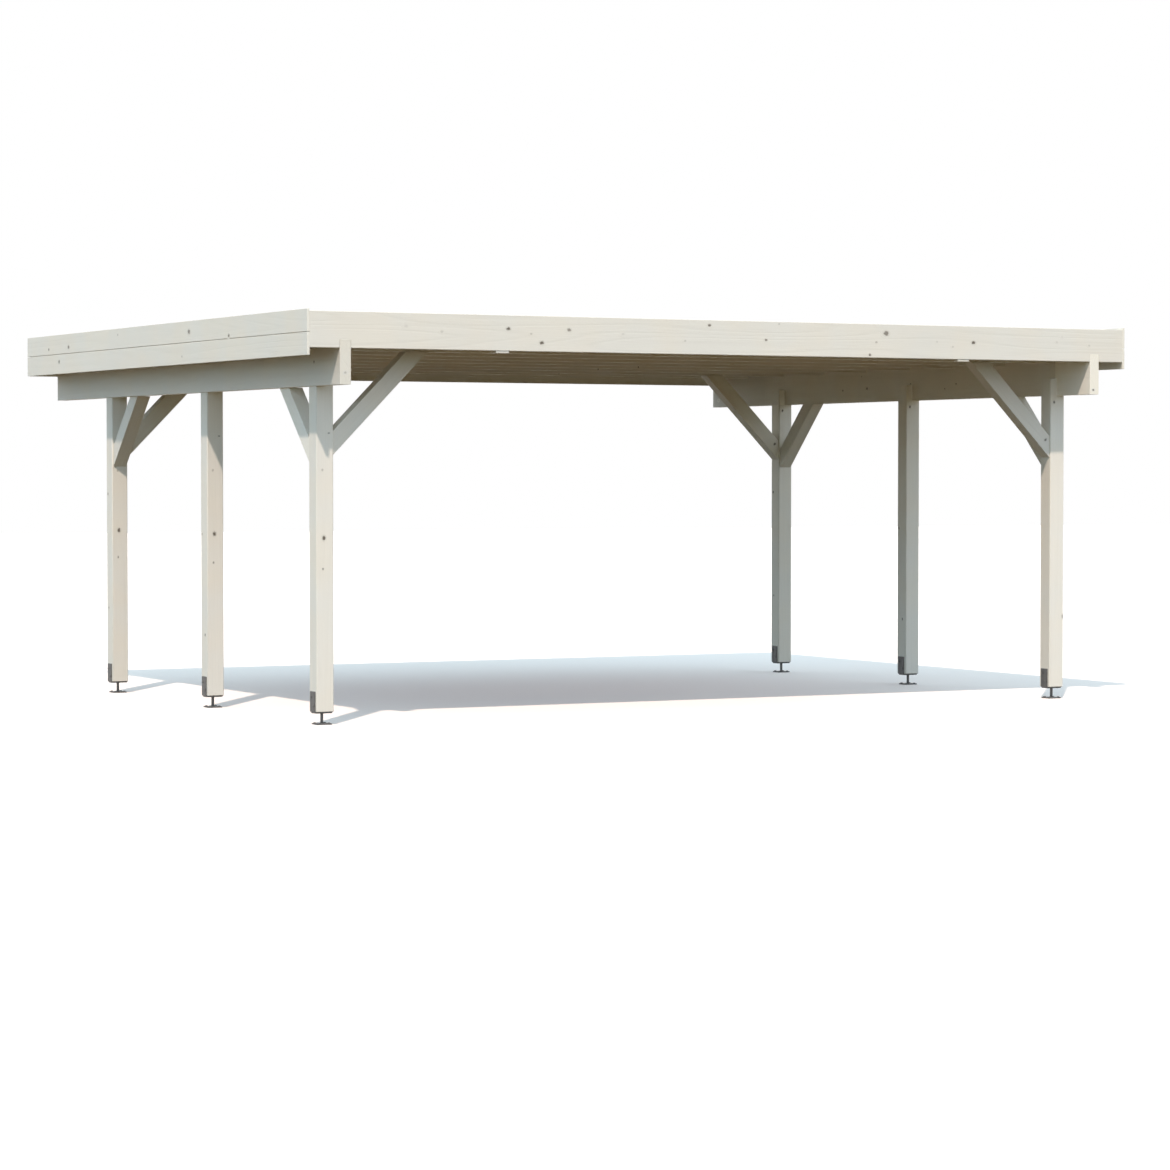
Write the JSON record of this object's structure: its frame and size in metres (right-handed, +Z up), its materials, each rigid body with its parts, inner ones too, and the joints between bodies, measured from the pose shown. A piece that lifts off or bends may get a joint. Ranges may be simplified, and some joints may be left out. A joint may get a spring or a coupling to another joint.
{
  "type": "double carport",
  "caption": "Open flat-roofed timber carport: notched posts on steel saddle bases, knee braces, side purlins, seat-cut rafters and boarded roof edges.",
  "frame": {"origin": "middle of the roof's outline, on the ground under the post bases", "axes": "+X along the front to the right, +Y from the front to the rear, +Z up"},
  "size_m": [6.35, 5.415, 2.669],
  "materials": {
    "primed_timber": "thin off-white primer over planed softwood",
    "edge_board": "thin off-white primer over planed softwood boards",
    "roof_boarding": "unpainted softwood boards",
    "roofing_felt": "fine mineral surface, matt",
    "galvanised_steel": "dull hot-dip galvanised"
  },
  "bodies": {
    "root": {"left_front_post_base": "galvanised_steel", "left_middle_post_base": "galvanised_steel", "left_rear_post_base": "galvanised_steel", "right_front_post_base": "galvanised_steel", "right_middle_post_base": "galvanised_steel", "right_rear_post_base": "galvanised_steel", "left_front_post": "primed_timber", "left_middle_post": "primed_timber", "left_rear_post": "primed_timber", "right_front_post": "primed_timber", "right_middle_post": "primed_timber", "right_rear_post": "primed_timber", "left_front_side_brace": "primed_timber", "left_rear_side_brace": "primed_timber", "right_front_side_brace": "primed_timber", "right_rear_side_brace": "primed_timber", "left_front_cross_brace": "primed_timber", "left_rear_cross_brace": "primed_timber", "right_front_cross_brace": "primed_timber", "right_rear_cross_brace": "primed_timber", "left_purlin": "primed_timber", "right_purlin": "primed_timber", "front_rafter": "primed_timber", "rafter_2": "primed_timber", "rafter_3": "primed_timber", "rafter_4": "primed_timber", "rafter_5": "primed_timber", "rafter_6": "primed_timber", "rafter_7": "primed_timber", "rafter_8": "primed_timber", "rafter_9": "primed_timber", "rear_rafter": "primed_timber", "left_lower_fascia": "edge_board", "left_upper_fascia": "edge_board", "right_lower_fascia": "edge_board", "right_upper_fascia": "edge_board", "rear_lower_fascia": "edge_board", "rear_upper_fascia": "edge_board", "roof_boarding": "roof_boarding", "roofing_felt": "roofing_felt"}
  },
  "joints": []
}
